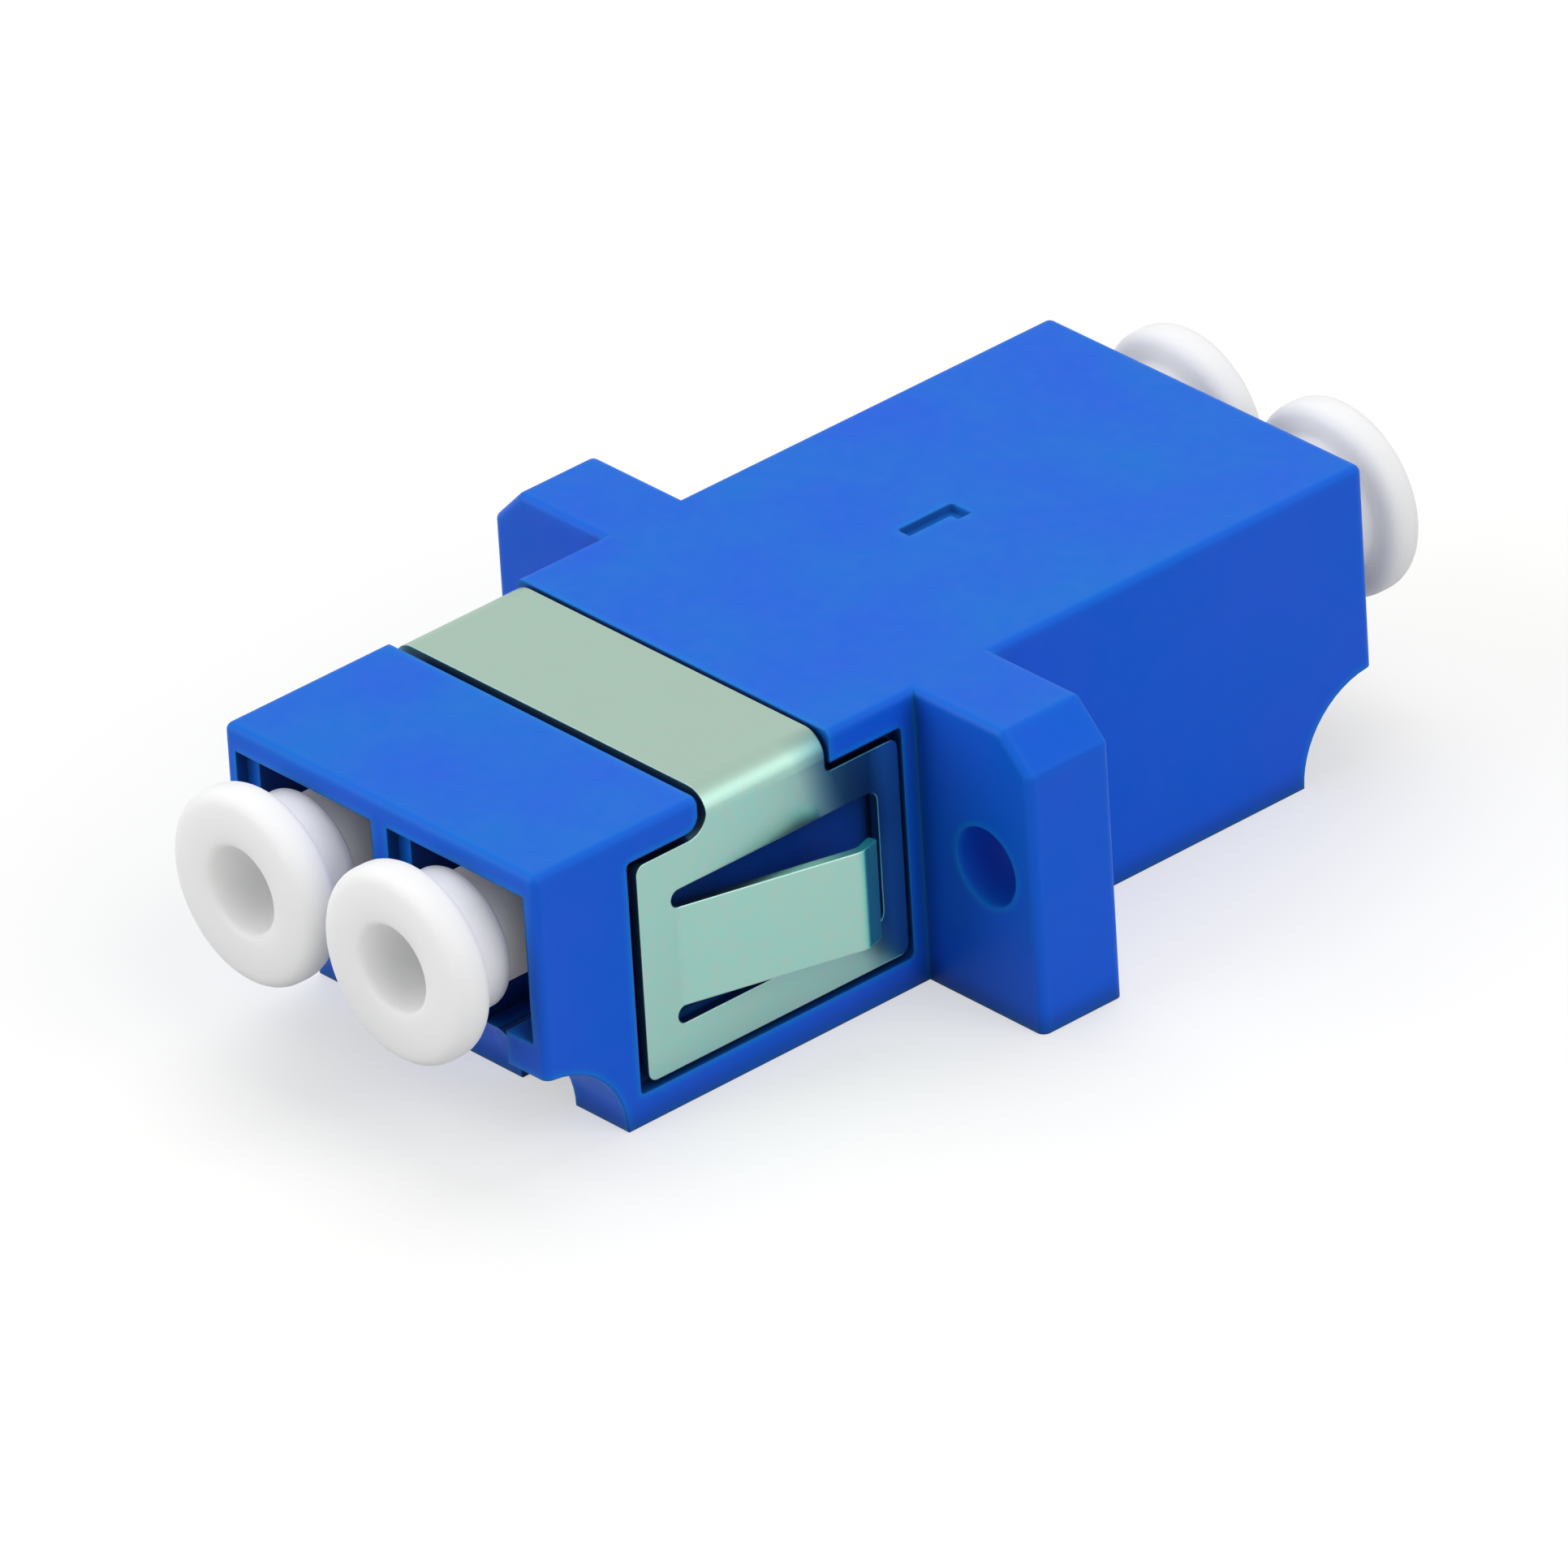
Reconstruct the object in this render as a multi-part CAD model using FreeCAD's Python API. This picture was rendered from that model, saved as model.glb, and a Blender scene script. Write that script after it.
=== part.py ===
"""Duplex LC fibre adapter with a screw flange, a spring panel clip and four dust caps.

The frame: X across the two ports, Y along them, Z up. The origin is the middle of the
underside. The clip is on the -Y side of the flange, which is called the front.
All sizes are in millimetres.
"""
import FreeCAD, Part
import math
import os

V = FreeCAD.Vector
X_AXIS = V(1, 0, 0)
Y_AXIS = V(0, 1, 0)
Z_AXIS = V(0, 0, 1)

# Housing: one moulding, a long box with a cross flange at its middle.
body_width = 12.8
body_length = 31.0
body_height = 9.2
body_edge_round = 0.25
flange_width = 22.0
flange_thickness = 3.0
flange_edge_round = 0.25
ear_chamfer = 1.1
screw_pitch = 18.0
screw_hole = 2.4
scallop_radius = 2.8

# Ports: two square bores from each end, with the latch side down.
port_pitch = 6.25
port_size = 4.6
port_roof = 0.75
mouth_width = 5.6
mouth_depth = 0.4
lug_slot_width = 3.4
lug_slot_floor = 1.9
lug_slot_length = 9.2
thumb_slot_width = 2.2
thumb_slot_length = 8.0
catch_reach = 0.55
catch_start = 5.2
catch_length = 1.6
web_thickness = 1.2

# Alignment sleeves and the tubes that hold them.
sleeve_length = 6.8
sleeve_outer = 1.62
sleeve_bore = 1.25
sleeve_slit = 0.32
holder_bore = 1.7
holder_outer = 2.5
holder_reach = 4.2
holder_lip = 0.75
ferrule_mouth = 1.4
funnel = 0.4
retainer_plate = 1.0

# Panel clip: one bent spring-steel sheet over the top and down both sides.
sheet = 0.3
clip_outer_bend = 0.75
neck_width = 4.35
neck_rear_gap = 3.35
plate_length = 9.65
plate_rear_gap = 0.7
plate_bottom = 1.2
plate_top = 8.0
tongue_width = 3.1
tongue_slot = 0.55
tongue_root = 1.45
tongue_run = 5.45
tongue_angle = 15.5
tongue_tip = 0.7
tongue_tip_turn = 18.0
tongue_bend = 0.8
tongue_edge_round = 0.08
window_length = 7.35
window_round = 0.35
plate_round = 0.3
neck_front_round = 0.7
neck_rear_round = 0.2
recess_gap = 0.25
recess_round = 0.15
recess_shift = 0.08
seat_clearance = 0.25
rest_inset = 0.3
pocket_length = 8.1
pocket_height = 4.3

# Moulded index hook on the top face, behind the flange.
hook_start = 4.25
hook_length = 2.05
hook_arm = 0.8
hook_stroke = 0.5
hook_depth = 0.25
hook_round = 0.12

# Dust caps: a button head and a collar on a long hollow barrel that goes over the sleeve's tube.
cap_reach = 2.5
cap_head_diameter = 5.9
cap_head_thickness = 1.2
cap_rim_round = 0.4
cap_back_round = 0.45
cap_lip_round = 0.2
cap_collar_diameter = 4.2
cap_barrel_diameter = 3.4
cap_barrel_depth = 12.9
cap_hole_diameter = 2.6
cap_hole_depth = 3.2
cap_core_diameter = 2.6
cap_core_depth = 6.4
cap_lip_flats = 1
cap_rim_flats = 3
cap_back_flats = 2

# Worked out from the sizes above.
half_width = body_width / 2
half_length = body_length / 2
port_axis_z = body_height - port_roof - port_size / 2
port_floor_z = port_axis_z - port_size / 2
flange_front = -flange_thickness / 2
plate_rear = flange_front - plate_rear_gap
plate_front = plate_rear - plate_length
neck_rear = flange_front - neck_rear_gap
neck_front = neck_rear - neck_width
tongue_axis_z = (plate_bottom + plate_top) / 2
PORT_X = {"left": -port_pitch / 2, "right": port_pitch / 2}


def rounded_face(corners, radii):
    """A flat face through the corners, each corner rounded to its own radius."""
    count = len(corners)
    edges = []
    last_end = None
    first_start = None
    for i, corner in enumerate(corners):
        back = (corners[i - 1] - corner).normalize()
        ahead = (corners[(i + 1) % count] - corner).normalize()
        radius = radii[i]
        if radius > 0:
            half = back.getAngle(ahead) / 2
            start = corner + back * (radius / math.tan(half))
            end = corner + ahead * (radius / math.tan(half))
            inward = (back + ahead).normalize()
            crown = corner + inward * (radius / math.sin(half) - radius)
        else:
            start = corner
            end = corner
        if last_end is None:
            first_start = start
        elif last_end.distanceToPoint(start) > 1e-6:
            edges.append(Part.LineSegment(last_end, start).toShape())
        if radius > 0:
            edges.append(Part.Arc(start, crown, end).toShape())
        last_end = end
    if last_end.distanceToPoint(first_start) > 1e-6:
        edges.append(Part.LineSegment(last_end, first_start).toShape())
    return Part.Face(Part.Wire(edges))


def eased_corner(before, corner, after, radius, flats):
    """Points that turn a corner by its radius in a few short flats, for the rims of turned forms."""
    back = (before - corner).normalize()
    ahead = (after - corner).normalize()
    half = back.getAngle(ahead) / 2
    centre = corner + (back + ahead).normalize() * (radius / math.sin(half))
    first = corner + back * (radius / math.tan(half)) - centre
    last = corner + ahead * (radius / math.tan(half)) - centre
    turn = first.getAngle(last)
    points = []
    for i in range(flats + 1):
        share = i / flats
        near = first * (math.sin((1 - share) * turn) / math.sin(turn))
        far = last * (math.sin(share * turn) / math.sin(turn))
        points.append(centre + near + far)
    return points


def centred_box(width, length, height, centre_x, start_y, start_z):
    """A box centred across X, running up from start_y and start_z."""
    return Part.makeBox(width, length, height, V(centre_x - width / 2, start_y, start_z))


def to_rear(shape):
    """The same feature at the other end: a half turn about Z."""
    turned = shape.copy()
    turned.rotate(V(0, 0, 0), Z_AXIS, 180)
    return turned


# ---------------------------------------------------------------- housing

def edges_above(block, level):
    """The block's edges that reach above a level, which leaves out those round its underside."""
    return [edge for edge in block.Edges if edge.BoundBox.ZMax > level]


def body_block():
    block = centred_box(body_width, body_length, body_height, 0, -half_length, 0)
    return block.makeFillet(body_edge_round, edges_above(block, body_height / 2))


def flange_block():
    """The cross flange: flush with the body above and below, its two top corners cut off."""
    reach = flange_width / 2
    top = body_height
    corners = [
        V(-reach, flange_front, 0),
        V(reach, flange_front, 0),
        V(reach, flange_front, top - ear_chamfer),
        V(reach - ear_chamfer, flange_front, top),
        V(-reach + ear_chamfer, flange_front, top),
        V(-reach, flange_front, top - ear_chamfer),
    ]
    block = rounded_face(corners, [0] * 6).extrude(V(0, flange_thickness, 0))
    return block.makeFillet(flange_edge_round, edges_above(block, body_height / 2))


def screw_holes():
    holes = []
    for side in (-1, 1):
        start = V(side * screw_pitch / 2, -flange_thickness, body_height / 2)
        holes.append(Part.makeCylinder(screw_hole / 2, 2 * flange_thickness, start, Y_AXIS))
    return holes


def end_scallops():
    """Finger scallops: quarter rounds across the two bottom end corners."""
    cuts = []
    for side in (-1, 1):
        start = V(-body_width, side * half_length, 0)
        cuts.append(Part.makeCylinder(scallop_radius, 2 * body_width, start, X_AXIS))
    return cuts


def lug_slot(centre_x):
    """The inner latch slot, narrowed by a ramped catch on each side that the latch snaps behind."""
    front = -half_length - 1
    height = port_axis_z - lug_slot_floor
    slot = centred_box(lug_slot_width, lug_slot_length + 1, height, centre_x, front, lug_slot_floor)
    ramp_start = -half_length + catch_start
    catch_end = ramp_start + catch_length
    for side in (-1, 1):
        wall = centre_x + side * lug_slot_width / 2
        inner = wall - side * catch_reach
        corners = [
            V(wall, ramp_start, lug_slot_floor),
            V(inner, catch_end - catch_length / 3, lug_slot_floor),
            V(inner, catch_end, lug_slot_floor),
            V(wall, catch_end, lug_slot_floor),
        ]
        catch_height = port_floor_z - lug_slot_floor
        slot = slot.cut(rounded_face(corners, [0] * 4).extrude(V(0, 0, catch_height)))
    return slot


def port_cut(centre_x):
    """Everything taken out of the front end for one port, back to the middle web."""
    bore_length = half_length - web_thickness / 2
    start = -half_length - 1
    bore = centred_box(port_size, bore_length + 1, port_size, centre_x, start, port_floor_z)
    mouth = centred_box(mouth_width, mouth_depth + 1, port_size, centre_x, start, port_floor_z)
    thumb = centred_box(thumb_slot_width, thumb_slot_length + 1, port_axis_z + 1, centre_x, start, -1)
    return bore.multiFuse([mouth, lug_slot(centre_x), thumb])


def sleeve_cavity(centre_x):
    """The sleeve's bore through the web and its tube, closed in front by a lip with a funnel."""
    reach = holder_reach
    bore_start = -reach + holder_lip
    bore_length = reach - holder_lip + web_thickness / 2
    bore = Part.makeCylinder(holder_bore / 2, bore_length, V(centre_x, bore_start, port_axis_z), Y_AXIS)
    mouth = Part.makeCylinder(ferrule_mouth / 2, 2 * reach, V(centre_x, -reach - 1, port_axis_z), Y_AXIS)
    mouth = mouth.common(centred_box(port_size, reach, port_size, centre_x, -reach - 1, port_floor_z))
    cone = Part.makeCone(
        ferrule_mouth / 2 + funnel, ferrule_mouth / 2, funnel, V(centre_x, -reach, port_axis_z), Y_AXIS
    )
    return bore.multiFuse([mouth, cone])


def sleeve_tube(centre_x):
    """The tube that stands forward from the web and carries the front half of the sleeve."""
    start = V(centre_x, -holder_reach, port_axis_z)
    return Part.makeCylinder(holder_outer / 2, holder_reach, start, Y_AXIS)


def index_hook():
    """A shallow hook-shaped groove: a stroke along the body and a short arm across its end."""
    left = -hook_stroke
    end = hook_start + hook_length
    floor = body_height - hook_depth
    corners = [
        V(left, hook_start, floor),
        V(left + hook_stroke, hook_start, floor),
        V(left + hook_stroke, end - hook_stroke, floor),
        V(left + hook_arm, end - hook_stroke, floor),
        V(left + hook_arm, end, floor),
        V(left, end, floor),
    ]
    return rounded_face(corners, [hook_round, 0, 0, 0, 0, hook_round]).extrude(V(0, 0, 1))


def clip_rests():
    """The raised pads that the clip lies on, clear of its edges and with a pocket under each tongue."""
    across = 2 * body_width
    length = plate_length - 2 * rest_inset
    height = plate_top - plate_bottom - 2 * rest_inset
    beside = centred_box(across, length, height, 0, plate_front + rest_inset, plate_bottom + rest_inset)
    pocket_front = plate_front + tongue_root - tongue_slot
    pocket_floor = tongue_axis_z - pocket_height / 2
    pocket = centred_box(across, pocket_length, pocket_height, 0, pocket_front, pocket_floor)
    neck_length = neck_width - 2 * rest_inset
    over_top = centred_box(across, neck_length, body_height, 0, neck_front + rest_inset, plate_top)
    return beside.cut(pocket).fuse(over_top).common(clip_core(sheet))


def clip_recess():
    """The seat that the clip lies in, open all round it, and deeper than the sheet between the pads."""
    outline = clip_side_face(recess_gap, recess_round)
    outline.translate(V(0, -recess_shift, 0))
    prism = outline.extrude(V(2 * body_width, 0, 0))
    return prism.cut(clip_core(sheet + seat_clearance)).cut(clip_rests())


def make_housing():
    solid = body_block().fuse(flange_block())
    for centre_x in PORT_X.values():
        solid = solid.cut(port_cut(centre_x))
        solid = solid.cut(to_rear(port_cut(centre_x)))
    for centre_x in PORT_X.values():
        solid = solid.fuse(sleeve_tube(centre_x))
        solid = solid.cut(sleeve_cavity(centre_x))
    solid = solid.cut(clip_recess())
    for cut in end_scallops() + screw_holes() + [index_hook()]:
        solid = solid.cut(cut)
    return solid.removeSplitter()


# ---------------------------------------------------------------- panel clip

def clip_core(depth):
    """The body less a depth on its top and sides, with its two top edges rounded."""
    inner = half_width - depth
    top = body_height - depth
    bend = clip_outer_bend - sheet
    start_y = plate_front - 1
    corners = [V(-inner, start_y, -1), V(inner, start_y, -1), V(inner, start_y, top), V(-inner, start_y, top)]
    return rounded_face(corners, [0, 0, bend, bend]).extrude(V(0, plate_length + 2, 0))


def clip_shell():
    """The bent sheet before it is cut to its outline."""
    start_y = plate_front - 1
    top = body_height
    corners = [
        V(-half_width, start_y, 0),
        V(half_width, start_y, 0),
        V(half_width, start_y, top),
        V(-half_width, start_y, top),
    ]
    radii = [0, 0, clip_outer_bend, clip_outer_bend]
    outer = rounded_face(corners, radii).extrude(V(0, plate_length + 2, 0))
    return outer.cut(clip_core(sheet))


def clip_side_face(margin, corner_round):
    """The clip seen from its side: a neck down from the top, widening to the plate. The margin grows it."""
    x = -body_width
    high = body_height + 1
    shoulder = plate_top + margin
    corners = [
        V(x, plate_front - margin, plate_bottom - margin),
        V(x, plate_rear + margin, plate_bottom - margin),
        V(x, plate_rear + margin, shoulder),
        V(x, neck_rear + margin, shoulder),
        V(x, neck_rear + margin, high),
        V(x, neck_front - margin, high),
        V(x, neck_front - margin, shoulder),
        V(x, plate_front - margin, shoulder),
    ]
    outer = corner_round
    inner_rear = max(neck_rear_round - margin, 0)
    inner_front = neck_front_round - margin
    return rounded_face(corners, [outer, outer, outer, inner_rear, 0, 0, inner_front, outer])


def window_cut(side):
    """The window round the tongue: two slots with round ends, open to each other past its tip."""
    x = side * half_width - 1
    root = plate_front + tongue_root
    end = plate_front + tongue_root + window_length
    half = tongue_width / 2 + tongue_slot
    corners = [
        V(x, root, tongue_axis_z - half),
        V(x, end, tongue_axis_z - half),
        V(x, end, tongue_axis_z + half),
        V(x, root, tongue_axis_z + half),
    ]
    window = rounded_face(corners, [0, window_round, window_round, 0]).extrude(V(2, 0, 0))
    ends = []
    for level in (-1, 1):
        centre = V(x, root, tongue_axis_z + level * (tongue_width + tongue_slot) / 2)
        ends.append(Part.makeCylinder(tongue_slot / 2, 2, centre, X_AXIS))
    return window.multiFuse(ends)


def tongue_strip(side):
    """The sprung tongue: it ramps outwards from its root and turns back a little at its tip."""
    middle = half_width - sheet / 2
    root = V(middle, plate_front + tongue_root, 0)
    seat = root - V(0, sheet, 0)
    slope = math.tan(math.radians(tongue_angle))
    crest = root + V(tongue_run * slope, tongue_run, 0)
    turn = math.radians(tongue_tip_turn)
    tip = crest + V(-math.sin(turn), math.cos(turn), 0) * tongue_tip
    outer, inner = [], []
    path = [seat, root, crest, tip]
    for i, point in enumerate(path):
        before = (point - path[i - 1]).normalize() if i > 0 else None
        after = (path[i + 1] - point).normalize() if i < len(path) - 1 else None
        along = (before + after).normalize() if before and after else (before or after)
        across = V(along.y, -along.x, 0)
        stretch = 1 / max(math.cos(along.getAngle(after or before)), 0.5)
        outer.append(point + across * (sheet / 2 * stretch))
        inner.append(point - across * (sheet / 2 * stretch))
    corners = outer + inner[::-1]
    inner_bend = tongue_bend - sheet
    edge = tongue_edge_round
    radii = [0, tongue_bend, tongue_bend, edge, edge, inner_bend, inner_bend, 0]
    low = tongue_axis_z - tongue_width / 2
    strip = rounded_face(corners, radii).extrude(V(0, 0, tongue_width))
    strip.translate(V(0, 0, low))
    return strip if side > 0 else strip.mirror(V(0, 0, 0), X_AXIS)


def make_panel_clip():
    outline = clip_side_face(0, plate_round).extrude(V(2 * body_width, 0, 0))
    clip = clip_shell().common(outline)
    for side in (-1, 1):
        clip = clip.cut(window_cut(side)).fuse(tongue_strip(side))
    return clip.removeSplitter()


# ---------------------------------------------------------------- sleeves and retainers

def make_split_sleeve(centre_x):
    """A ceramic tube slit along its top, which grips a ferrule from each side."""
    start = V(centre_x, -sleeve_length / 2, port_axis_z)
    outer = Part.makeCylinder(sleeve_outer / 2, sleeve_length, start, Y_AXIS)
    bore = Part.makeCylinder(sleeve_bore / 2, sleeve_length, start, Y_AXIS)
    slit = centred_box(sleeve_slit, sleeve_length, sleeve_outer, centre_x, -sleeve_length / 2, port_axis_z)
    return outer.cut(bore).cut(slit)


def make_retainer(centre_x):
    """A square plate pressed into the rear port against the web, with the sleeve's rear tube."""
    seat = web_thickness / 2
    plate = centred_box(port_size, retainer_plate, port_size, centre_x, seat, port_floor_z)
    tube = Part.makeCylinder(holder_outer / 2, holder_reach - seat, V(centre_x, seat, port_axis_z), Y_AXIS)
    return plate.fuse(tube).cut(to_rear(sleeve_cavity(-centre_x))).removeSplitter()


# ---------------------------------------------------------------- dust caps

def make_front_cap(centre_x):
    """A turned form about the port's axis. Distances run outwards from the body's end face."""
    head_radius = cap_head_diameter / 2
    collar_radius = cap_collar_diameter / 2
    barrel_radius = cap_barrel_diameter / 2
    hole_radius = cap_hole_diameter / 2
    core_radius = cap_core_diameter / 2
    head_back = cap_reach - cap_head_thickness
    hole_floor = cap_reach - cap_hole_depth
    core_floor = cap_core_depth - cap_barrel_depth
    stations = [
        (0, hole_floor, 0, 0),
        (hole_radius, hole_floor, 0, 0),
        (hole_radius, cap_reach, cap_lip_round, cap_lip_flats),
        (head_radius, cap_reach, cap_rim_round, cap_rim_flats),
        (head_radius, head_back, cap_back_round, cap_back_flats),
        (collar_radius, head_back, 0, 0),
        (collar_radius, 0, 0, 0),
        (barrel_radius, 0, 0, 0),
        (barrel_radius, -cap_barrel_depth, 0, 0),
        (core_radius, -cap_barrel_depth, 0, 0),
        (core_radius, core_floor, 0, 0),
        (0, core_floor, 0, 0),
    ]
    points = [V(centre_x + radius, -half_length - out, port_axis_z) for radius, out, _, _ in stations]
    outline = []
    for i, (_, _, ease, flats) in enumerate(stations):
        if ease > 0:
            outline += eased_corner(points[i - 1], points[i], points[i + 1], ease, flats)
        else:
            outline.append(points[i])
    profile = Part.Face(Part.makePolygon(outline + outline[:1]))
    return profile.revolve(V(centre_x, 0, port_axis_z), Y_AXIS, 360)


def parts():
    shapes = {"housing": make_housing(), "panel_clip": make_panel_clip()}
    for name, centre_x in PORT_X.items():
        shapes["sleeve_retainer_" + name] = make_retainer(centre_x)
        shapes["split_sleeve_" + name] = make_split_sleeve(centre_x)
        shapes["dust_cap_front_" + name] = make_front_cap(centre_x)
        shapes["dust_cap_rear_" + name] = to_rear(make_front_cap(-centre_x))
    return shapes


def main():
    os.makedirs("parts", exist_ok=True)
    for name, shape in parts().items():
        solid = shape.Solids[0] if len(shape.Solids) == 1 else shape
        box = solid.BoundBox
        print(
            "%-24s solids %d valid %s volume %.2f mm3, X %.2f..%.2f Y %.2f..%.2f Z %.2f..%.2f"
            % (name, len(shape.Solids), solid.isValid(), solid.Volume,
               box.XMin, box.XMax, box.YMin, box.YMax, box.ZMin, box.ZMax)
        )
        solid.exportStep("parts/%s.step" % name)


main()
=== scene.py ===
"""Looks for a flanged duplex LC fibre adapter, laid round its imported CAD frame.

Everything is in metres, in the frame of the CAD: X across the two ports, Y along them,
Z up from the underside. The clip and two of the dust caps are on the -Y side, the front.
"""
import math

import bmesh
import bpy
from mathutils import Matrix, Vector


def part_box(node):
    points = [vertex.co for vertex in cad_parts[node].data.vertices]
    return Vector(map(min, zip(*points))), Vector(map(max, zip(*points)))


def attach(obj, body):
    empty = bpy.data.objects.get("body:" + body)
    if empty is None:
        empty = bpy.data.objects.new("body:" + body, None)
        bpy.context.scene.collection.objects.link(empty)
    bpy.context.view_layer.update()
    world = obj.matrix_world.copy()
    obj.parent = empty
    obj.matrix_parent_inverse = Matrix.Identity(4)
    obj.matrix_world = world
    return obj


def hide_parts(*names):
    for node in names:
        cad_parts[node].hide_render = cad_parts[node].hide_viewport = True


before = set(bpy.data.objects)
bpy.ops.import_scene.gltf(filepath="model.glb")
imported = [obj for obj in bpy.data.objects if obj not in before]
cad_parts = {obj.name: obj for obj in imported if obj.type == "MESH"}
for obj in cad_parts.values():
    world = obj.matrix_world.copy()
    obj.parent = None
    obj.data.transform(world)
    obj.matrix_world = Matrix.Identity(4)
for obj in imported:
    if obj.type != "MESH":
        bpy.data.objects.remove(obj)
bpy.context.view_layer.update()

MM = 0.001
SIDES = ("left", "right")
ENDS = ("front", "rear")
WHITE = (1, 1, 1, 1)

# Places on the adapter from which the bands of its finishes are set out. Within a band, a change of
# colour starts at the first value and is whole at the second.
HOUSING_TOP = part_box("housing")[1].z
CLIP_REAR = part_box("panel_clip")[1].y
BODY_HALF_WIDTH = 6.4 * MM


# ---------------------------------------------------------------- node helpers

def fill(tree, socket, value):
    """Wires in a value that another node puts out, and sets any other."""
    if isinstance(value, bpy.types.NodeSocket):
        tree.links.new(value, socket)
    else:
        socket.default_value = value


def node(tree, kind, inputs=None, **settings):
    """A node with its settings made and its inputs filled."""
    made = tree.nodes.new(kind)
    for name, value in settings.items():
        setattr(made, name, value)
    for name, value in (inputs or {}).items():
        fill(tree, made.inputs[name], value)
    return made


def maths(tree, operation, first, second=0.0, clamp=False):
    made = node(tree, "ShaderNodeMath", {0: first, 1: second}, operation=operation, use_clamp=clamp)
    return made.outputs[0]


def times(tree, first, second):
    return maths(tree, "MULTIPLY", first, second)


def remap(tree, value, start, end, low, high):
    """The value carried from one range to another, held at both ends."""
    ranges = {"Value": value, "From Min": start, "From Max": end, "To Min": low, "To Max": high}
    return node(tree, "ShaderNodeMapRange", ranges, clamp=True).outputs["Result"]


def rising(tree, value, band, top=1.0):
    """0 up to the near end of the band, and the top share from its far end on."""
    return remap(tree, value, band[0], band[1], 0.0, top)


def spread(tree, share, ends):
    """A share of 0 to 1, carried to between the two ends."""
    return remap(tree, share, 0.0, 1.0, ends[0], ends[1])


def blend_colours(tree, share, first, second):
    """The first colour at a share of 0, and the second at 1."""
    mix = node(tree, "ShaderNodeMix", data_type="RGBA", blend_type="MIX")
    for name, value in (("Factor_Float", share), ("A_Color", first), ("B_Color", second)):
        fill(tree, next(s for s in mix.inputs if s.identifier == name), value)
    return next(s for s in mix.outputs if s.identifier == "Result_Color")


def noise(tree, points, scale, detail, roughness=0.5):
    given = {"Vector": points, "Scale": scale, "Detail": detail, "Roughness": roughness}
    return node(tree, "ShaderNodeTexNoise", given).outputs["Fac"]


def new_group(name, inputs, outputs):
    """A node group with its named sockets made, and the sockets of its two end nodes."""
    tree = bpy.data.node_groups.new(name, "ShaderNodeTree")
    for label, kind, value in inputs:
        socket = tree.interface.new_socket(label, in_out="INPUT", socket_type=kind)
        if value is not None:
            socket.default_value = value
    for label, kind in outputs:
        tree.interface.new_socket(label, in_out="OUTPUT", socket_type=kind)
    return tree, tree.nodes.new("NodeGroupInput").outputs, tree.nodes.new("NodeGroupOutput").inputs


def use_group(tree, group, inputs=None):
    return node(tree, "ShaderNodeGroup", inputs, node_tree=group).outputs


# ---------------------------------------------------------------- effects that several finishes share

NOISE_RANGE = (0.3, 0.7)
SPECKS_TO_A_CLOUD = 7.0
EDGE_SAMPLES = 6
OPENNESS_RANGE = (0.04, 0.96)
OPENNESS_SAMPLES = 8


def make_surface_grain():
    """Fine tool-mark grain, and slow clouds and specks over it. Sizes are given in millimetres."""
    tree, given, out = new_group(
        "surface_grain",
        [
            ("Vector", "NodeSocketVector", None),
            ("Grain Size", "NodeSocketFloat", 0.1),
            ("Cloud Size", "NodeSocketFloat", 4.0),
            ("Grain Share", "NodeSocketFloat", 0.7),
        ],
        [("Height", "NodeSocketFloat"), ("Cloud", "NodeSocketFloat"), ("Speck", "NodeSocketFloat")],
    )
    points = given["Vector"]
    grain_scale = maths(tree, "DIVIDE", 1 / MM, given["Grain Size"])
    cloud_scale = maths(tree, "DIVIDE", 1 / MM, given["Cloud Size"])
    speck_scale = times(tree, cloud_scale, SPECKS_TO_A_CLOUD)
    fine = noise(tree, points, grain_scale, detail=3.0, roughness=0.6)
    cloud = noise(tree, points, cloud_scale, detail=2.0)
    speck = noise(tree, points, speck_scale, detail=2.0)
    fine_part = times(tree, fine, given["Grain Share"])
    slow_part = times(tree, speck, maths(tree, "SUBTRACT", 1.0, given["Grain Share"]))
    tree.links.new(maths(tree, "ADD", fine_part, slow_part), out["Height"])
    tree.links.new(rising(tree, cloud, NOISE_RANGE), out["Cloud"])
    tree.links.new(rising(tree, speck, NOISE_RANGE), out["Speck"])
    return tree


def make_edge_ease():
    """A mask along outside and inside edges, and the normal of a small round on them."""
    tree, given, out = new_group(
        "edge_ease",
        [
            ("Mask Width", "NodeSocketFloat", 0.3 * MM),
            ("Round", "NodeSocketFloat", 0.06 * MM),
            ("Gain", "NodeSocketFloat", 2.5),
        ],
        [("Mask", "NodeSocketFloat"), ("Normal", "NodeSocketVector")],
    )
    wide = node(tree, "ShaderNodeBevel", {"Radius": given["Mask Width"]}, samples=EDGE_SAMPLES).outputs[0]
    small = node(tree, "ShaderNodeBevel", {"Radius": given["Round"]}, samples=EDGE_SAMPLES).outputs[0]
    flat = node(tree, "ShaderNodeNewGeometry").outputs["True Normal"]
    agreement = node(tree, "ShaderNodeVectorMath", {0: wide, 1: flat}, operation="DOT_PRODUCT")
    turn = maths(tree, "SUBTRACT", 1.0, agreement.outputs["Value"])
    mask = maths(tree, "MULTIPLY", turn, given["Gain"], clamp=True)
    tree.links.new(mask, out["Mask"])
    tree.links.new(small, out["Normal"])
    return tree


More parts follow.
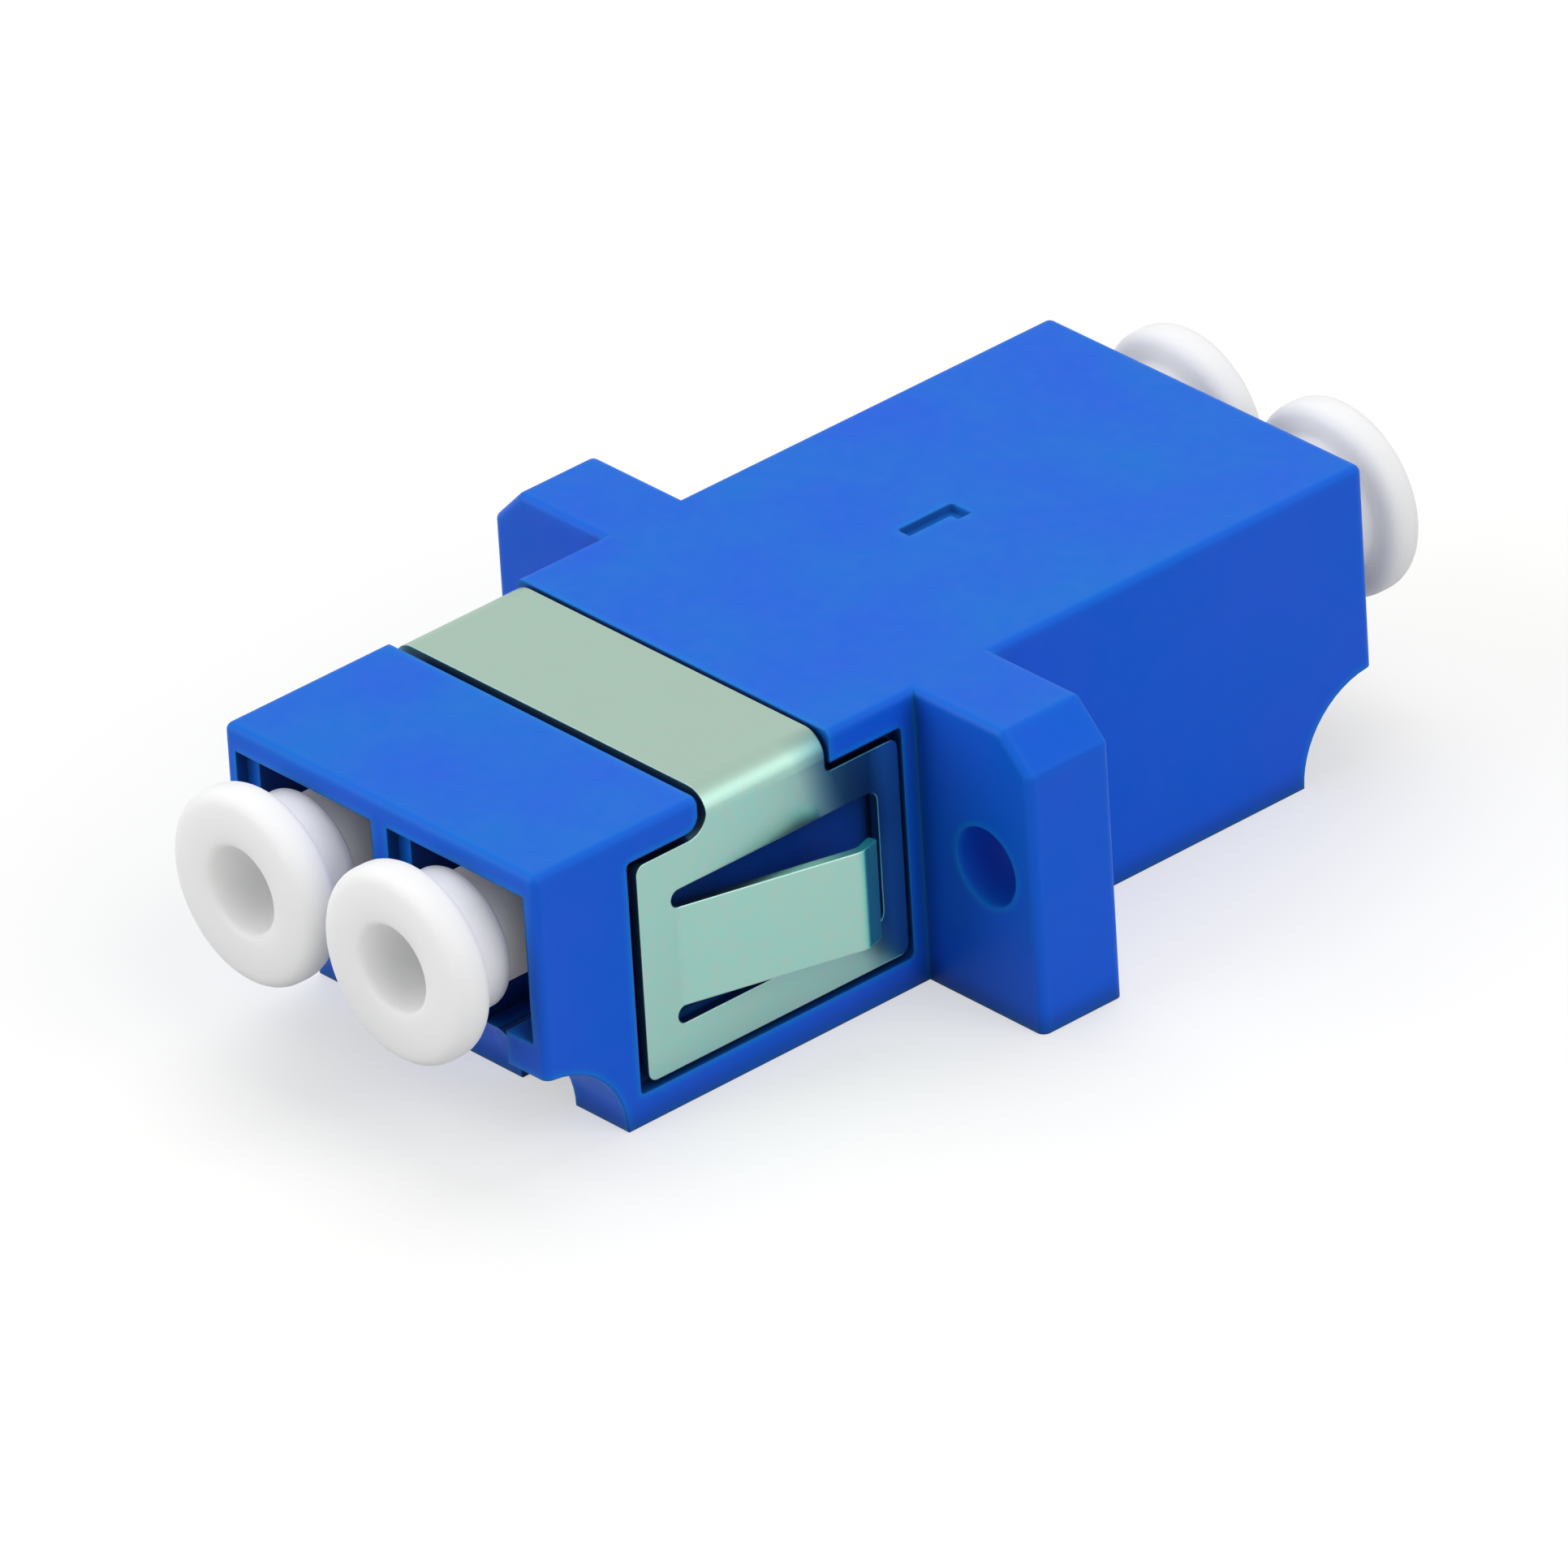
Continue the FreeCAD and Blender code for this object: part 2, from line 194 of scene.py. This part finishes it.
def make_facing():
    """How squarely the surface faces sideways, and up or down, in the object's own axes."""
    tree, _, out = new_group("facing", [], [("Side", "NodeSocketFloat"), ("Top", "NodeSocketFloat")])
    normal = node(tree, "ShaderNodeTexCoord").outputs["Normal"]
    parts = node(tree, "ShaderNodeSeparateXYZ", {0: normal}).outputs
    tree.links.new(maths(tree, "ABSOLUTE", parts["X"]), out["Side"])
    tree.links.new(maths(tree, "ABSOLUTE", parts["Z"]), out["Top"])
    return tree


def make_openness():
    """How open the surface is: 1 on a free face, falling towards 0 deep in a gap, a pocket or a port."""
    tree, given, out = new_group(
        "openness",
        [("Reach", "NodeSocketFloat", 2.0 * MM), ("Depth", "NodeSocketFloat", 1.0)],
        [("Open", "NodeSocketFloat")],
    )
    reach = {"Distance": given["Reach"]}
    seen = node(tree, "ShaderNodeAmbientOcclusion", reach, samples=OPENNESS_SAMPLES).outputs["AO"]
    tree.links.new(maths(tree, "POWER", rising(tree, seen, OPENNESS_RANGE), given["Depth"]), out["Open"])
    return tree


SURFACE_GRAIN = make_surface_grain()
EDGE_EASE = make_edge_ease()
FACING = make_facing()
OPENNESS = make_openness()


# ---------------------------------------------------------------- what every finish needs

def new_finish(name):
    """A material with only its shader in it."""
    material = bpy.data.materials.new(name)
    material.use_nodes = True
    tree = material.node_tree
    tree.nodes.clear()
    shader = tree.nodes.new("ShaderNodeBsdfPrincipled")
    node(tree, "ShaderNodeOutputMaterial", {"Surface": shader.outputs[0]})
    return material, tree, shader


def object_points(tree, stretch=(1.0, 1.0, 1.0)):
    """Points in the object's own axes. A stretch below 1 draws a pattern out along that axis."""
    points = node(tree, "ShaderNodeTexCoord").outputs["Object"]
    return node(tree, "ShaderNodeMapping", {"Vector": points, "Scale": stretch}).outputs[0]


def places(tree):
    """Where a point lies: out from the middle of the adapter, along the ports, and up."""
    across, along, up = node(tree, "ShaderNodeSeparateXYZ", {0: object_points(tree)}).outputs
    return maths(tree, "ABSOLUTE", across), along, up


def grain_of(tree, points, grain_size, cloud_size, grain_share):
    """The grain of one finish, with its sizes in millimetres."""
    given = {"Vector": points, "Grain Size": grain_size, "Cloud Size": cloud_size, "Grain Share": grain_share}
    return use_group(tree, SURFACE_GRAIN, given)


def edge_of(tree, mask_width, ease, gain):
    return use_group(tree, EDGE_EASE, {"Mask Width": mask_width, "Round": ease, "Gain": gain})


def openness_of(tree, reach, depth):
    return use_group(tree, OPENNESS, {"Reach": reach, "Depth": depth})["Open"]


def set_surface(tree, shader, colour, roughness, height, bump_distance, normal):
    """Wires a finish's colour, roughness and relief into its shader."""
    relief = {"Height": height, "Distance": bump_distance, "Strength": 1.0, "Normal": normal}
    bump = node(tree, "ShaderNodeBump", relief).outputs[0]
    tree.links.new(colour, shader.inputs["Base Color"])
    tree.links.new(roughness, shader.inputs["Roughness"])
    tree.links.new(bump, shader.inputs["Normal"])


# ---------------------------------------------------------------- blue moulding

# Painted light and shade by facing: the top lightest, the ends and sides deeper and more violet.
BLUE_ON_TOP = (0.004, 0.149, 0.635, 1)
BLUE_ON_ENDS = (0.002, 0.108, 0.65, 1)
BLUE_ON_SIDES = (0.001, 0.105, 0.7, 1)
BLUE_IN_CLOUDS = (0.015, 0.097, 0.72, 1)
# Painted highlight along the edges.
BLUE_EDGE_HIGHLIGHT = (0.002, 0.205, 0.7, 1)
# Painted shade on the inner walls of the ports and pockets.
BLUE_PAINTED_WALL_SHADE = (0.002, 0.018, 0.11, 1)
# Painted shade in gaps and hollows, and a lighter painted shade in the hook on the top.
BLUE_PAINTED_HOLLOW_SHADE = (0.003, 0.022, 0.09, 1)
BLUE_PAINTED_HOOK_SHADE = (0.012, 0.13, 0.48, 1)
BLUE_CLOUD_SHARE = 0.65
BLUE_EDGE_HIGHLIGHT_SHARE = 0.9
BLUE_WALL_SHADE_SHARE = 0.75
BLUE_ROUGHNESS = (0.38, 0.48)
BLUE_GLOSS = 0.13
BLUE_RELIEF = 0.004 * MM
INNER_WALLS = (BODY_HALF_WIDTH - 0.2 * MM, BODY_HALF_WIDTH - 0.5 * MM)
REAR_HALF = (0.0, 1.0 * MM)
TOP_SKIN = (HOUSING_TOP - 0.6 * MM, HOUSING_TOP - 0.4 * MM)


def moulded_blue(tree, grain, edge):
    """Painted light and shade: deeper on the sides than on the top, by which way the face looks. Softly
    clouded, with a painted highlight along the edges, and painted shade on the inner walls and in the
    hollows.
    """
    facing = use_group(tree, FACING)
    # Painted light and shade: the colour is set by which way the face looks.
    across = blend_colours(tree, facing["Top"], BLUE_ON_ENDS, BLUE_ON_TOP)
    flat = blend_colours(tree, facing["Side"], across, BLUE_ON_SIDES)
    clouds = spread(tree, grain["Cloud"], (0.0, BLUE_CLOUD_SHARE))
    clouded = blend_colours(tree, clouds, flat, BLUE_IN_CLOUDS)
    # A painted highlight along the edges.
    edged = blend_colours(tree, times(tree, edge["Mask"], BLUE_EDGE_HIGHLIGHT_SHARE), clouded, BLUE_EDGE_HIGHLIGHT)
    outward, along, up = places(tree)
    # Painted shade on the inner walls of the ports and pockets, deeper nearer the middle.
    inner_wall_shade = times(tree, rising(tree, outward, INNER_WALLS, BLUE_WALL_SHADE_SHARE), facing["Side"])
    wall_shaded = blend_colours(tree, inner_wall_shade, edged, BLUE_PAINTED_WALL_SHADE)
    # Painted shade in gaps and hollows, set by openness; lighter in the shallow hook on the top.
    at_hook = times(tree, rising(tree, along, REAR_HALF), rising(tree, up, TOP_SKIN))
    hollow = blend_colours(tree, at_hook, BLUE_PAINTED_HOLLOW_SHADE, BLUE_PAINTED_HOOK_SHADE)
    return blend_colours(tree, openness_of(tree, reach=0.9 * MM, depth=1.2), hollow, wall_shaded)


def make_blue_moulding():
    """Satin blue thermoplastic, with painted shade dark in its gaps and ports. The painted shade in the
    shallow hook on the top stays lighter.
    """
    material, tree, shader = new_finish("blue_moulded_plastic")
    shader.inputs["Specular IOR Level"].default_value = BLUE_GLOSS
    grain = grain_of(tree, object_points(tree), grain_size=0.16, cloud_size=4.0, grain_share=0.8)
    edge = edge_of(tree, mask_width=0.5 * MM, ease=0.12 * MM, gain=4.5)
    roughness = spread(tree, grain["Speck"], BLUE_ROUGHNESS)
    colour = moulded_blue(tree, grain, edge)
    set_surface(tree, shader, colour, roughness, grain["Height"], BLUE_RELIEF, edge["Normal"])
    return material


# ---------------------------------------------------------------- spring steel

# Painted reflection by facing: the sides more teal than the top.
STEEL_ON_SIDES = (0.3, 0.57, 0.51, 1)
STEEL_ON_TOP = (0.385, 0.535, 0.44, 1)
STEEL_IN_SPECKS = (0.42, 0.51, 0.46, 1)
STEEL_IN_CLOUDS = (0.38, 0.55, 0.46, 1)
# Pale colour of the faint roll lines, and of the painted highlight along the edges.
STEEL_ROLL_LINES_AND_EDGE_HIGHLIGHT = (0.5, 0.64, 0.58, 1)
# Painted reflection of the dark blue flange on the side plates near it, bluer on their rear strip.
STEEL_PAINTED_FLANGE_REFLECTION = (0.03, 0.17, 0.24, 1)
STEEL_PAINTED_REAR_REFLECTION = (0.15, 0.6, 0.7, 1)
# Painted reflection of the flange on the tongues' tips.
STEEL_PAINTED_TIP_REFLECTION = (0.075, 0.55, 0.45, 1)
# Painted shade in the sheet's gaps and hollows.
STEEL_PAINTED_HOLLOW_SHADE = (0.025, 0.14, 0.27, 1)
STEEL_SPECKS = (0.3, 1.0)
STEEL_SPECK_SHARE = 0.4
STEEL_CLOUD_SHARE = 0.4
STEEL_LINE_SHARE = 0.02
STEEL_EDGE_HIGHLIGHT_SHARE = 0.5
STEEL_FLANGE_REFLECTION_SHARE = 0.9
STEEL_TIP_REFLECTION_SHARE = 0.9
STEEL_ROUGHNESS = (0.26, 0.27)
STEEL_RELIEF = 0.00015 * MM
ROLLING_STRETCH = (0.12, 1.0, 0.12)

# How squarely the sheet looks up or sideways where a bend starts, and where it is at its roughest.
BEND_FACING = (0.99, 0.93)
BEND_ROUGHNESS = 0.16

# The painted reflection of the flange starts further from the flange higher up, by this share of the height.
FLANGE_REFLECTION_SLANT = 0.3
FLANGE_REFLECTION_BAND = (CLIP_REAR - 1.2 * MM, CLIP_REAR)
REAR_STRIP = (CLIP_REAR - 1.1 * MM, CLIP_REAR - 0.5 * MM)
TONGUE_TIPS = (CLIP_REAR - 2.9 * MM, CLIP_REAR - 2.65 * MM)
STANDING_OUT = (BODY_HALF_WIDTH + 0.5 * MM, BODY_HALF_WIDTH + 0.7 * MM)
BELOW_BENDS = (HOUSING_TOP - 0.8 * MM, HOUSING_TOP - 1.0 * MM)


def plated_steel(tree, facing, grain, lines, edge):
    """The plating: mottled and faintly lined by the rolls, with a painted highlight paler along its edges.
    The sides are more teal than the top, a painted reflection set by which way the sheet faces.
    """
    # Painted reflection: the colour is set by which way the sheet faces.
    flat = blend_colours(tree, facing["Top"], STEEL_ON_SIDES, STEEL_ON_TOP)
    specks = rising(tree, grain["Speck"], STEEL_SPECKS, STEEL_SPECK_SHARE)
    specked = blend_colours(tree, specks, flat, STEEL_IN_SPECKS)
    clouds = spread(tree, grain["Cloud"], (0.0, STEEL_CLOUD_SHARE))
    clouded = blend_colours(tree, clouds, specked, STEEL_IN_CLOUDS)
    rolled = spread(tree, lines["Speck"], (0.0, STEEL_LINE_SHARE))
    lined = blend_colours(tree, rolled, clouded, STEEL_ROLL_LINES_AND_EDGE_HIGHLIGHT)
    # A painted highlight along the edges.
    return blend_colours(tree, times(tree, edge["Mask"], STEEL_EDGE_HIGHLIGHT_SHARE), lined, STEEL_ROLL_LINES_AND_EDGE_HIGHLIGHT)


def steel_with_painted_reflections(tree, facing, plating):
    """The plating, with a painted blue reflection of the flange on the side plates towards it, and on the
    tongues' tips.
    """
    outward, along, up = places(tree)
    # Painted reflection of the flange on the side plates near it, and a bluer one on their rear strip.
    slanted = maths(tree, "ADD", along, times(tree, up, FLANGE_REFLECTION_SLANT))
    on_plate = maths(tree, "MAXIMUM", facing["Side"], rising(tree, up, BELOW_BENDS))
    flange_reflection_mask = times(tree, rising(tree, slanted, FLANGE_REFLECTION_BAND, STEEL_FLANGE_REFLECTION_SHARE), on_plate)
    rear_reflection_mask = times(tree, rising(tree, along, REAR_STRIP), facing["Side"])
    painted_reflection_colour = blend_colours(tree, rear_reflection_mask, STEEL_PAINTED_FLANGE_REFLECTION, STEEL_PAINTED_REAR_REFLECTION)
    with_painted_reflections = blend_colours(tree, flange_reflection_mask, plating, painted_reflection_colour)
    # A painted reflection on the tips of the tongues, which stand out from the sides.
    standing_out = rising(tree, outward, STANDING_OUT, STEEL_TIP_REFLECTION_SHARE)
    tip_reflection_mask = times(tree, standing_out, rising(tree, along, TONGUE_TIPS))
    return blend_colours(tree, tip_reflection_mask, with_painted_reflections, STEEL_PAINTED_TIP_REFLECTION)


def make_spring_steel():
    """Rolled spring sheet with pale, slightly green plating. It is rougher where it is bent."""
    material, tree, shader = new_finish("plated_spring_steel")
    shader.inputs["Metallic"].default_value = 1.0
    drawn_out = object_points(tree, ROLLING_STRETCH)
    lines = grain_of(tree, drawn_out, grain_size=0.09, cloud_size=1.6, grain_share=0.5)
    grain = grain_of(tree, object_points(tree), grain_size=0.14, cloud_size=2.6, grain_share=0.6)
    edge = edge_of(tree, mask_width=0.12 * MM, ease=0.06 * MM, gain=2.0)
    facing = use_group(tree, FACING)
    plating = plated_steel(tree, facing, grain, lines, edge)
    with_painted_reflections = steel_with_painted_reflections(tree, facing, plating)
    # Painted shade in the gaps and hollows of the sheet, set by openness.
    colour = blend_colours(tree, openness_of(tree, reach=2.2 * MM, depth=1.3), STEEL_PAINTED_HOLLOW_SHADE, with_painted_reflections)
    straight = maths(tree, "MAXIMUM", facing["Top"], facing["Side"])
    bent = rising(tree, straight, BEND_FACING, BEND_ROUGHNESS)
    roughness = maths(tree, "ADD", spread(tree, lines["Speck"], STEEL_ROUGHNESS), bent)
    set_surface(tree, shader, colour, roughness, grain["Height"], STEEL_RELIEF, edge["Normal"])
    return material


# ---------------------------------------------------------------- white plastic and ceramic

SOFT_WHITE = (0.95, 0.95, 0.935, 1)
SOFT_WHITE_IN_CLOUDS = (0.965, 0.965, 0.955, 1)
# Painted highlight along the edges.
SOFT_WHITE_EDGE_HIGHLIGHT = (0.97, 0.97, 0.965, 1)
SOFT_WHITE_EDGE_HIGHLIGHT_SHARE = 0.4
SOFT_WHITE_ROUGHNESS = (0.45, 0.55)
SOFT_WHITE_GLOSS = 0.2
SOFT_WHITE_RELIEF = 0.004 * MM
LIGHT_SOAK = 1.4 * MM
LIGHT_SOAK_BY_COLOUR = (1.0, 1.0, 0.95)
CERAMIC = (0.86, 0.855, 0.82, 1)
CERAMIC_IN_CLOUDS = (0.9, 0.895, 0.87, 1)
CERAMIC_ROUGHNESS = (0.1, 0.16)
CERAMIC_GLOSS = 0.8
CERAMIC_RELIEF = 0.0005 * MM


def make_white_cap_plastic():
    """Soft white polyethylene that light soaks into, so its hollows stay pale."""
    material, tree, shader = new_finish("white_soft_plastic")
    shader.inputs["Specular IOR Level"].default_value = SOFT_WHITE_GLOSS
    shader.inputs["Subsurface Weight"].default_value = 1.0
    shader.inputs["Subsurface Radius"].default_value = LIGHT_SOAK_BY_COLOUR
    shader.inputs["Subsurface Scale"].default_value = LIGHT_SOAK
    grain = grain_of(tree, object_points(tree), grain_size=0.22, cloud_size=2.5, grain_share=0.6)
    edge = edge_of(tree, mask_width=0.15 * MM, ease=0.05 * MM, gain=2.0)
    clouded = blend_colours(tree, grain["Cloud"], SOFT_WHITE, SOFT_WHITE_IN_CLOUDS)
    # A painted highlight along the edges.
    edges = times(tree, edge["Mask"], SOFT_WHITE_EDGE_HIGHLIGHT_SHARE)
    colour = blend_colours(tree, edges, clouded, SOFT_WHITE_EDGE_HIGHLIGHT)
    roughness = spread(tree, grain["Speck"], SOFT_WHITE_ROUGHNESS)
    set_surface(tree, shader, colour, roughness, grain["Height"], SOFT_WHITE_RELIEF, edge["Normal"])
    return material


def make_white_ceramic():
    """Polished zirconia of the alignment sleeves."""
    material, tree, shader = new_finish("polished_zirconia")
    shader.inputs["Specular IOR Level"].default_value = CERAMIC_GLOSS
    grain = grain_of(tree, object_points(tree), grain_size=0.05, cloud_size=1.0, grain_share=0.6)
    edge = edge_of(tree, mask_width=0.08 * MM, ease=0.03 * MM, gain=2.0)
    colour = blend_colours(tree, grain["Cloud"], CERAMIC, CERAMIC_IN_CLOUDS)
    roughness = spread(tree, grain["Speck"], CERAMIC_ROUGHNESS)
    set_surface(tree, shader, colour, roughness, grain["Height"], CERAMIC_RELIEF, edge["Normal"])
    return material


# ---------------------------------------------------------------- the CAD pieces, dressed

BLUE_MOULDING = make_blue_moulding()
SPRING_STEEL = make_spring_steel()
WHITE_CAP = make_white_cap_plastic()
WHITE_CERAMIC = make_white_ceramic()


def dress(node_name, material):
    """Gives a CAD node its finish, and leaves its mesh alone."""
    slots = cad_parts[node_name].data.materials
    for index in range(len(slots)):
        slots[index] = material


dress("housing", BLUE_MOULDING)
dress("panel_clip", SPRING_STEEL)
for side in SIDES:
    dress("sleeve_retainer_" + side, BLUE_MOULDING)
    dress("split_sleeve_" + side, WHITE_CERAMIC)


# ---------------------------------------------------------------- dust caps, turned afresh with smooth rounds

CAP_SEGMENTS = 96
ROUND_SEGMENTS = 7
CAP_REACH = 2.5 * MM
CAP_HEAD_THICKNESS = 1.2 * MM
CAP_RIM_ROUND = 0.42 * MM
CAP_BACK_ROUND = 0.45 * MM
CAP_LIP_ROUND = 0.2 * MM
CAP_COLLAR_RADIUS = 2.1 * MM
CAP_COLLAR_ROUND = 0.08 * MM
CAP_BARREL_RADIUS = 1.7 * MM
CAP_TIP_ROUND = 0.12 * MM
CAP_HOLE_RADIUS = 1.3 * MM
CAP_HOLE_TAPER = 0.15 * MM
CAP_HOLE_DEPTH = 3.2 * MM
CAP_FLOOR_ROUND = 0.25 * MM
CAP_CORE_RADIUS = 1.3 * MM
CAP_CORE_DEPTH = 6.4 * MM
MERGE_DISTANCE = 0.001 * MM


def mesh_from(form, name, material):
    """The form made into a mesh of one material."""
    mesh = bpy.data.meshes.new(name)
    form.to_mesh(mesh)
    form.free()
    mesh.materials.append(material)
    return mesh


def add_object(name, data):
    made = bpy.data.objects.new(name, data)
    bpy.context.scene.collection.objects.link(made)
    return made


def cap_corners(low, high):
    """Half the cap's section, from the hole in its head round to its core: radius, place along, round."""
    outward = -1 if low.y + high.y < 0 else 1
    face, tip = (low.y, high.y) if outward < 0 else (high.y, low.y)
    head_radius = (high.z - low.z) / 2
    collar_end = face - outward * CAP_REACH
    back = face - outward * CAP_HEAD_THICKNESS
    hole_floor = face - outward * CAP_HOLE_DEPTH
    core_floor = tip + outward * CAP_CORE_DEPTH
    return [
        (0.0, hole_floor, 0.0),
        (CAP_HOLE_RADIUS - CAP_HOLE_TAPER, hole_floor, CAP_FLOOR_ROUND),
        (CAP_HOLE_RADIUS, face, CAP_LIP_ROUND),
        (head_radius, face, CAP_RIM_ROUND),
        (head_radius, back, CAP_BACK_ROUND),
        (CAP_COLLAR_RADIUS, back, CAP_COLLAR_ROUND),
        (CAP_COLLAR_RADIUS, collar_end, CAP_COLLAR_ROUND),
        (CAP_BARREL_RADIUS, collar_end, CAP_COLLAR_ROUND),
        (CAP_BARREL_RADIUS, tip, CAP_TIP_ROUND),
        (CAP_CORE_RADIUS, tip, CAP_TIP_ROUND),
        (CAP_CORE_RADIUS, core_floor, CAP_FLOOR_ROUND),
        (0.0, core_floor, 0.0),
    ]


def turned_cap(node_name):
    """A dust cap spun about its port's axis: a button head with a hole in it, on a hollow barrel."""
    low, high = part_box(node_name)
    centre = (low + high) / 2
    corners = cap_corners(low, high)
    form = bmesh.new()
    points = [form.verts.new((centre.x + radius, along, centre.z)) for radius, along, _ in corners]
    for first, second in zip(points, points[1:]):
        form.edges.new((first, second))
    for point, (_, _, ease) in zip(points, corners):
        if ease > 0:
            bmesh.ops.bevel(
                form, geom=[point], offset=ease, offset_type="OFFSET", affect="VERTICES",
                segments=ROUND_SEGMENTS, profile=0.5, material=-1,
            )
    bmesh.ops.spin(
        form, geom=form.verts[:] + form.edges[:], cent=(centre.x, 0, centre.z), axis=(0, 1, 0),
        angle=2 * math.pi, steps=CAP_SEGMENTS, use_merge=True,
    )
    bmesh.ops.remove_doubles(form, verts=form.verts[:], dist=MERGE_DISTANCE)
    bmesh.ops.recalc_face_normals(form, faces=form.faces[:])
    mesh = mesh_from(form, node_name + "_turned", WHITE_CAP)
    mesh.shade_smooth()
    piece = add_object(node_name + "_turned", mesh)
    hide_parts(node_name)
    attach(piece, node_name)


for end in ENDS:
    for side in SIDES:
        turned_cap("dust_cap_%s_%s" % (end, side))


# ---------------------------------------------------------------- floor and light

FLOOR_REACH = 2.0
FLOOR_GAP = 0.02 * MM
FLOOR_COLOUR = (0.5, 0.5, 0.49, 1)
FLOOR_LIFT = 0.51
SKY_LIGHT = 0.3


def seen_directly(tree):
    """1 for what the camera sees, straight or in a reflection, and 0 for light falling on things."""
    path = node(tree, "ShaderNodeLightPath").outputs
    mirrored = maths(tree, "MAXIMUM", path["Is Glossy Ray"], path["Is Transmission Ray"])
    return maths(tree, "MAXIMUM", path["Is Camera Ray"], mirrored)


def make_pale_floor_finish():
    """A matt floor that takes shadows, lifted to white where it is seen."""
    material = bpy.data.materials.new("pale_floor")
    material.use_nodes = True
    tree = material.node_tree
    tree.nodes.clear()
    matt = node(tree, "ShaderNodeBsdfDiffuse", {"Color": FLOOR_COLOUR}).outputs[0]
    lift = times(tree, seen_directly(tree), FLOOR_LIFT)
    glow = node(tree, "ShaderNodeEmission", {"Color": WHITE, "Strength": lift}).outputs[0]
    both = node(tree, "ShaderNodeAddShader", {0: matt, 1: glow}).outputs[0]
    node(tree, "ShaderNodeOutputMaterial", {"Surface": both})
    return material


def make_floor():
    form = bmesh.new()
    bmesh.ops.create_grid(form, x_segments=1, y_segments=1, size=FLOOR_REACH)
    bmesh.ops.translate(form, verts=form.verts[:], vec=(0, 0, -FLOOR_GAP))
    add_object("floor", mesh_from(form, "floor", make_pale_floor_finish()))


def make_sky():
    """A plain pale room: white where it is seen, dimmer as a light."""
    world = bpy.data.worlds.new("pale_room")
    world.use_nodes = True
    tree = world.node_tree
    tree.nodes.clear()
    strength = spread(tree, seen_directly(tree), (SKY_LIGHT, 1.0))
    glow = node(tree, "ShaderNodeBackground", {"Color": WHITE, "Strength": strength}).outputs[0]
    node(tree, "ShaderNodeOutputWorld", {"Surface": glow})
    bpy.context.scene.world = world


def make_sun(name, toward, strength, width_degrees, mirrored=True):
    """A broad, distant lamp. Strength 1 lights a face square to it as brightly as its colour is written.

    A lamp that isn't mirrored lights the adapter without showing in its glossy surfaces.
    """
    lamp = bpy.data.lights.new(name, "SUN")
    lamp.energy = strength * math.pi
    lamp.angle = math.radians(width_degrees)
    holder = add_object(name, lamp)
    holder.rotation_euler = Vector(toward).to_track_quat("Z", "Y").to_euler()
    holder.visible_glossy = mirrored


# ---------------------------------------------------------------- camera

CAMERA_DISTANCE = 0.7
CAMERA_LENS = 580.5
CAMERA_SENSOR = 36.0
CAMERA_NEAR = 0.05
CAMERA_FAR = 10.0
CAMERA_AZIMUTH = math.radians(49.41)
CAMERA_ELEVATION = math.radians(29.81)
CAMERA_TILT = math.radians(-3.57)
CAMERA_AIM = Vector((0.043, -0.919, 3.499)) * MM


def make_camera():
    """A long lens from the front right and above, turned a little about its own axis."""
    forward = Vector((
        -math.sin(CAMERA_AZIMUTH) * math.cos(CAMERA_ELEVATION),
        math.cos(CAMERA_AZIMUTH) * math.cos(CAMERA_ELEVATION),
        -math.sin(CAMERA_ELEVATION),
    ))
    level = Vector((math.cos(CAMERA_AZIMUTH), math.sin(CAMERA_AZIMUTH), 0))
    above = level.cross(forward)
    right = level * math.cos(CAMERA_TILT) + above * math.sin(CAMERA_TILT)
    up = right.cross(forward)
    lens = bpy.data.cameras.new("camera")
    lens.lens = CAMERA_LENS
    lens.sensor_width = CAMERA_SENSOR
    lens.clip_start = CAMERA_NEAR
    lens.clip_end = CAMERA_FAR
    lens.dof.use_dof = False
    camera = add_object("camera", lens)
    turn = Matrix((right, up, -forward)).transposed()
    camera.matrix_world = Matrix.Translation(CAMERA_AIM - forward * CAMERA_DISTANCE) @ turn.to_4x4()
    bpy.context.scene.camera = camera


make_floor()
make_sky()
make_sun("front_lamp", toward=(-0.5, -0.8, 0.35), strength=0.5, width_degrees=60)
make_sun("side_lamp", toward=(0.83, 0.1, 0.55), strength=0.44, width_degrees=60)
make_sun("back_lamp", toward=(-0.3, 0.27, 0.91), strength=0.36, width_degrees=50, mirrored=False)
make_camera()
bpy.context.scene.view_settings.view_transform = "Standard"
